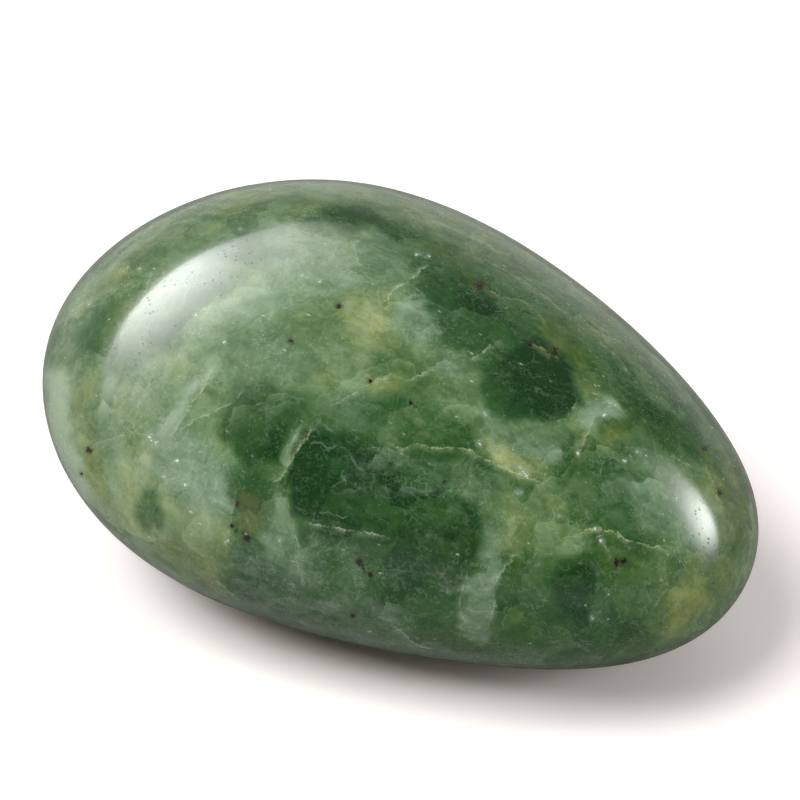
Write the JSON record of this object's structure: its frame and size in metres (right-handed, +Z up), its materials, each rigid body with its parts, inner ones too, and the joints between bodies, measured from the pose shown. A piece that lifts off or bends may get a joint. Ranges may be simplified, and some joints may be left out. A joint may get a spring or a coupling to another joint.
{
  "type": "polished jade stone",
  "caption": "Hand-sized polished green jade stone, egg-shaped with a blunt and a narrow end, resting on a small worn flat underneath.",
  "frame": {"origin": "under the middle of the stone's bounding box, on the surface that it rests on", "axes": "+X along the stone towards its narrow end, +Y across it, +Z up from the rest flat"},
  "size_m": [0.0944, 0.0688, 0.0481],
  "materials": {
    "polished_jade": "glossy hand polish over mottled, veined and faintly milky green jade"
  },
  "bodies": {
    "root": {"jade_stone": "polished_jade"}
  },
  "joints": []
}
